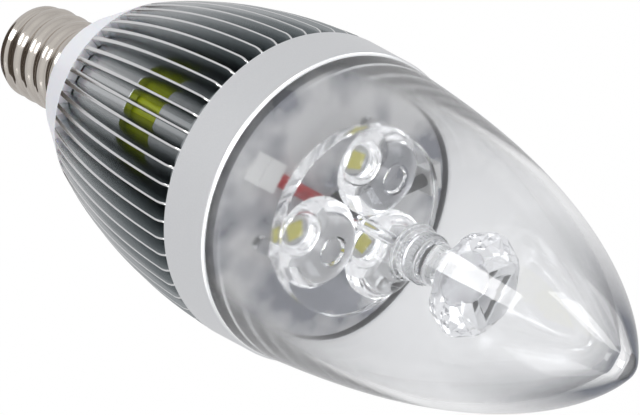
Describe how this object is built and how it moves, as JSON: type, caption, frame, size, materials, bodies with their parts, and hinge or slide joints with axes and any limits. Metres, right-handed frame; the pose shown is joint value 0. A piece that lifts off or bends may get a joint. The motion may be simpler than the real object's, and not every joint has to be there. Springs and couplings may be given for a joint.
{
  "type": "candle bulb",
  "caption": "Screw-base LED candle lamp with a finned heat sink, a front ring, a triple lens and a faceted crystal under a clear flame-shaped dome.",
  "frame": {"origin": "centre of the contact button's end face, at the bottom of the screw cap", "axes": "+Z along the lamp's axis from the contact to the tip of the dome, -Y towards the side that the picture shows nearest"},
  "size_m": [0.037, 0.037, 0.1117],
  "materials": {
    "nickel": "nickel plated, polished",
    "black_insulator": "gloss black",
    "white_plastic": "moulded, fine satin",
    "bright_aluminium": "bright, drawn along the fins",
    "green_sleeve": "gloss yellow-green film",
    "satin_aluminium": "bead blasted and anodised",
    "clear_plastic": "clear moulded acrylic",
    "grey_pad": "matt grey",
    "board_white": "white solder mask on aluminium",
    "lamp_white": "white ceramic",
    "phosphor": "yellow phosphor",
    "lens_plastic": "clear moulded acrylic",
    "stem_plastic": "clear turned acrylic",
    "crystal_glass": "cut and polished",
    "red_insulation": "red wire insulation",
    "black_insulation": "black wire insulation",
    "terminal_white": "moulded white",
    "board_green": "green circuit board",
    "ferrite": "ground ferrite",
    "coil_tape": "yellow winding tape",
    "can_sleeve": "dark shrink sleeve",
    "chip_black": "moulded epoxy",
    "resistor_body": "blue-grey lacquer"
  },
  "bodies": {
    "root": {"contact_button": "nickel", "cap_insulator": "black_insulator", "screw_shell": "nickel", "base_collar": "white_plastic", "heat_sink": "bright_aluminium", "driver_sleeve": "green_sleeve", "front_ring": "satin_aluminium", "dome": "clear_plastic", "thermal_pad": "grey_pad", "led_board": "board_white", "led_body_1": "lamp_white", "led_body_2": "lamp_white", "led_body_3": "lamp_white", "phosphor_1": "phosphor", "phosphor_2": "phosphor", "phosphor_3": "phosphor", "triple_lens": "lens_plastic", "crystal_stem": "stem_plastic", "crystal": "crystal_glass", "red_lead": "red_insulation", "black_lead": "black_insulation", "red_terminal": "terminal_white", "black_terminal": "terminal_white", "driver_board": "board_green", "transformer_core": "ferrite", "transformer_coil": "coil_tape", "input_capacitor": "can_sleeve", "output_capacitor": "can_sleeve", "bridge_rectifier": "chip_black", "driver_chip": "chip_black", "fuse_resistor": "resistor_body", "live_lead": "red_insulation", "neutral_lead": "black_insulation"}
  },
  "joints": []
}
